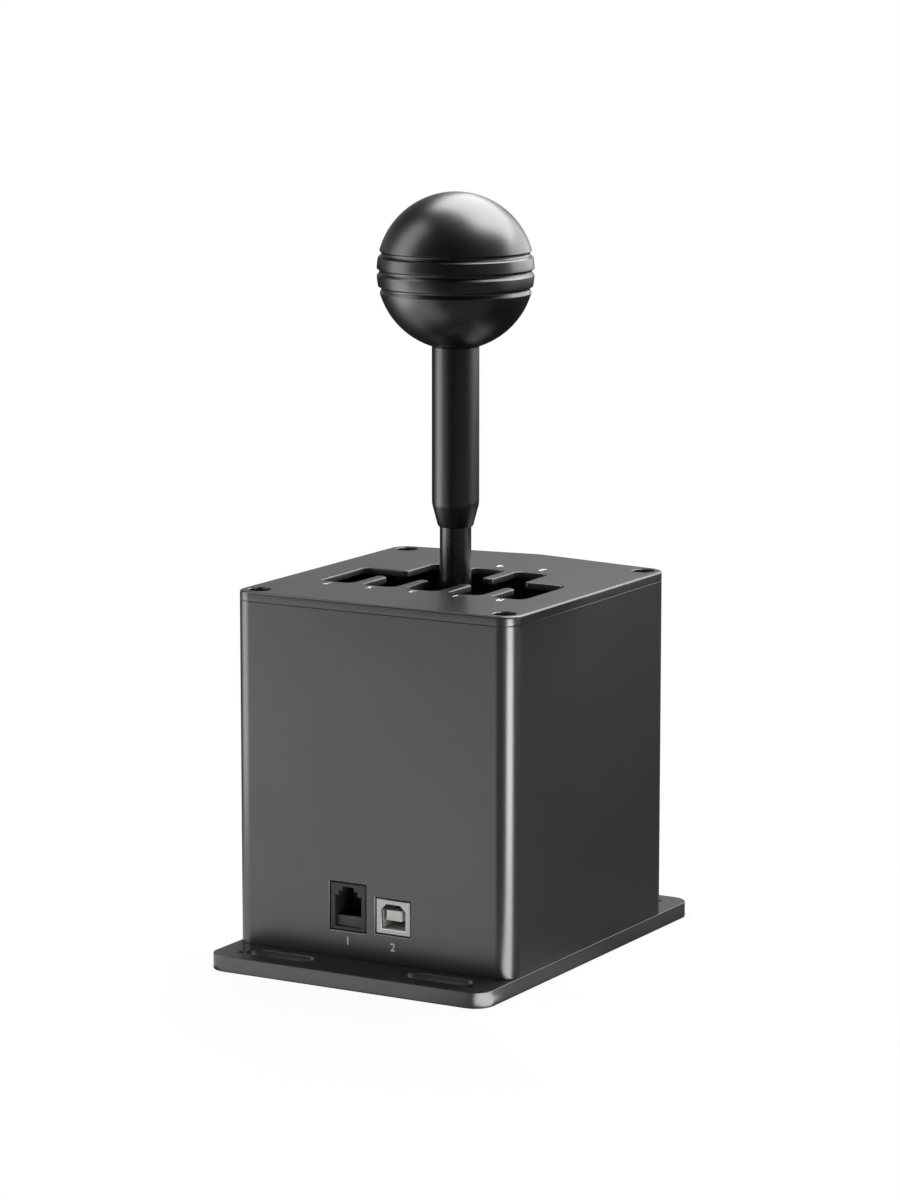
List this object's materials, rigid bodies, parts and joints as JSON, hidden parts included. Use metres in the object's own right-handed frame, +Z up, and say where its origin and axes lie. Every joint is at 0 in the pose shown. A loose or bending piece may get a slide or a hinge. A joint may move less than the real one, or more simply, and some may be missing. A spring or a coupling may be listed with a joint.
{
  "type": "sim racing gear shifter",
  "caption": "Desk or rig mounted racing gear shifter: ball knob lever in an H gate on a ridged metal housing with a slotted base plate and two cable sockets.",
  "frame": {"origin": "middle of the base plate's underside", "axes": "+Z up along the lever at rest, -Y toward the wall with the sockets, +Y toward the driver"},
  "size_m": [0.1, 0.14, 0.2408],
  "materials": {
    "black_anodised": "satin black anodised",
    "bare_aluminium": "machined",
    "black_steel": "black oxide",
    "steel": "ground and plated",
    "lever_steel": "satin black",
    "spring_steel": "drawn wire",
    "bronze": "turned",
    "board_green": "solder mask",
    "chip_black": "moulded",
    "jack_black": "moulded",
    "contact_gold": "gold plated",
    "socket_nickel": "plated sheet",
    "magnet_nickel": "plated",
    "tongue_white": "moulded",
    "spacer_white": "moulded",
    "ribbon_grey": "flat cable"
  },
  "bodies": {
    "chassis": {"base_plate": "black_anodised", "housing": "black_anodised", "gate_plate": "black_anodised", "top_screws": "black_steel", "bottom_screws": "black_steel", "bracket_screws": "black_steel", "front_bracket": "bare_aluminium", "rear_bracket": "bare_aluminium", "select_bushes": "bronze", "main_board": "board_green", "board_standoffs": "bronze", "board_screws": "steel", "board_chips": "chip_black", "data_jack": "jack_black", "data_contacts": "contact_gold", "usb_shell": "socket_nickel", "usb_insert": "tongue_white", "sensor_board": "board_green", "sensor_spacers": "spacer_white", "sensor_screws": "steel", "hall_sensor": "chip_black", "ribbon_cable": "ribbon_grey", "spring_posts": "bare_aluminium", "centring_spring_left": "spring_steel", "centring_spring_right": "spring_steel", "lockout_body": "black_steel", "lockout_nut": "steel", "lockout_spring": "spring_steel"},
    "yoke": {"select_yoke": "bare_aluminium", "select_pins": "steel", "shift_bushes": "bronze", "detent_bodies": "black_steel", "detent_nuts": "steel", "detent_spring_left": "spring_steel", "detent_spring_right": "spring_steel"},
    "lever": {"lever_block": "bare_aluminium", "magnet": "magnet_nickel", "shift_axle": "steel", "axle_clips": "black_steel", "lever_shaft": "lever_steel", "shaft_lock_nut": "steel", "lever_sleeve": "black_anodised", "shift_knob": "black_anodised", "knob_insert": "bronze"},
    "detent_pin_left": {"detent_pin_left": "steel"},
    "detent_pin_right": {"detent_pin_right": "steel"},
    "lockout_pin": {"lockout_pin": "steel"}
  },
  "joints": [
    {"name": "select", "type": "hinge", "parent": "chassis", "child": "yoke", "pos_m": [0, 0.0005, 0.026], "axis": [0, 1, 0], "range_deg": [-9.66, 18.81], "stiffness_Nm_per_rad": 2.7, "deforming": ["centring_spring_left", "centring_spring_right"]},
    {"name": "shift", "type": "hinge", "parent": "yoke", "child": "lever", "pos_m": [0, 0.0005, 0.026], "axis": [1, 0, 0], "range_deg": [-10.21, 10.21]},
    {"name": "detent_left", "type": "slide", "parent": "yoke", "child": "detent_pin_left", "axis": [1, 0, 0], "range_m": [0, 0.0006], "stiffness_N_per_m": 1500, "springref_m": 0.004, "deforming": ["detent_spring_left"]},
    {"name": "detent_right", "type": "slide", "parent": "yoke", "child": "detent_pin_right", "axis": [-1, 0, 0], "range_m": [0, 0.0006], "stiffness_N_per_m": 1500, "springref_m": 0.004, "deforming": ["detent_spring_right"]},
    {"name": "lockout", "type": "slide", "parent": "chassis", "child": "lockout_pin", "axis": [0, -1, 0], "range_m": [0, 0.0006], "stiffness_N_per_m": 1500, "springref_m": 0.004, "deforming": ["lockout_spring"]}
  ]
}
